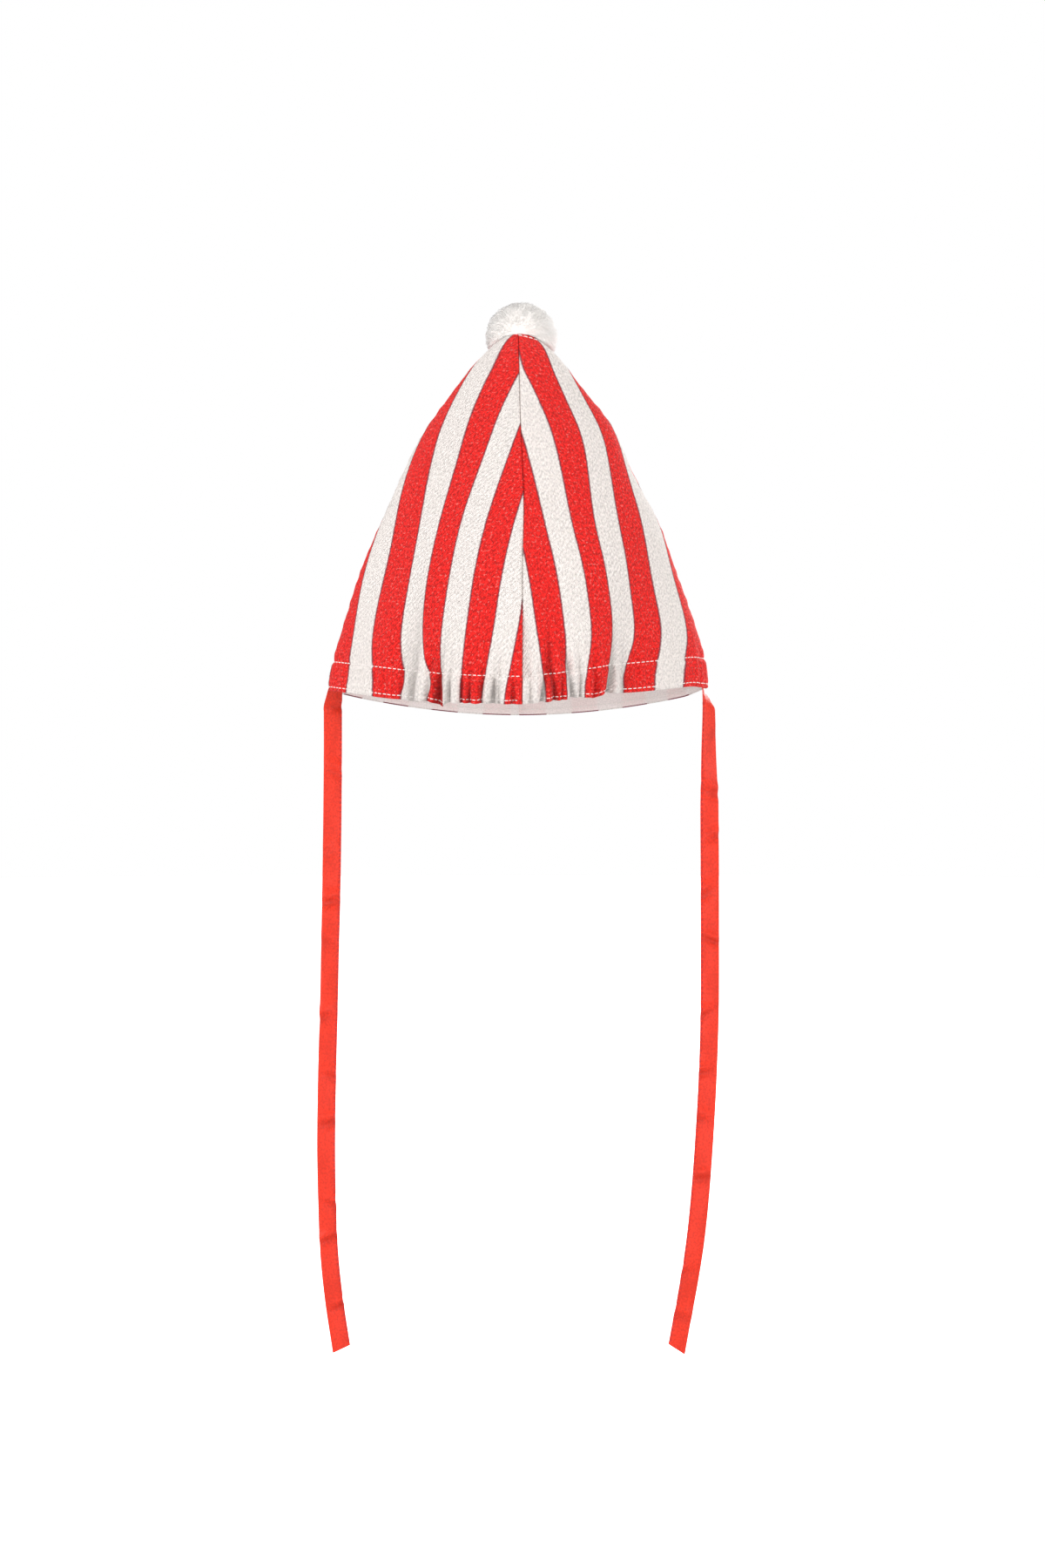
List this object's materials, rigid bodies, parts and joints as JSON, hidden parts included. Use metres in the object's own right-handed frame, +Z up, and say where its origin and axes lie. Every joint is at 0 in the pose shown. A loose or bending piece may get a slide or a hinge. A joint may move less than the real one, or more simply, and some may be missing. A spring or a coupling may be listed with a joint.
{
  "type": "clown hat",
  "caption": "Child's soft pointed clown hat of striped cloth gores with a white lining, an elasticated back hem, a yarn pompom on the tip and ribbon ties.",
  "frame": {"origin": "centre of the rim opening, level with the two corners where the ties are sewn in", "axes": "+Z up to the tip, +Y the wearer's front, +X towards the right side seam seen from the gathered back"},
  "size_m": [0.2312, 0.1325, 0.6039],
  "materials": {
    "striped_cloth": "matt woven cloth printed with red and white stripes",
    "lining_cloth": "matt white woven cloth",
    "ribbon_satin": "soft red satin, folded and edge stitched",
    "white_yarn": "fluffy cut white yarn"
  },
  "bodies": {
    "root": {"gore_front_right": "striped_cloth", "gore_front_left": "striped_cloth", "gore_back_left": "striped_cloth", "gore_back_right": "striped_cloth", "lining_front_right": "lining_cloth", "lining_front_left": "lining_cloth", "lining_back_left": "lining_cloth", "lining_back_right": "lining_cloth", "tie_left": "ribbon_satin", "tie_right": "ribbon_satin", "pompom": "white_yarn"}
  },
  "joints": []
}
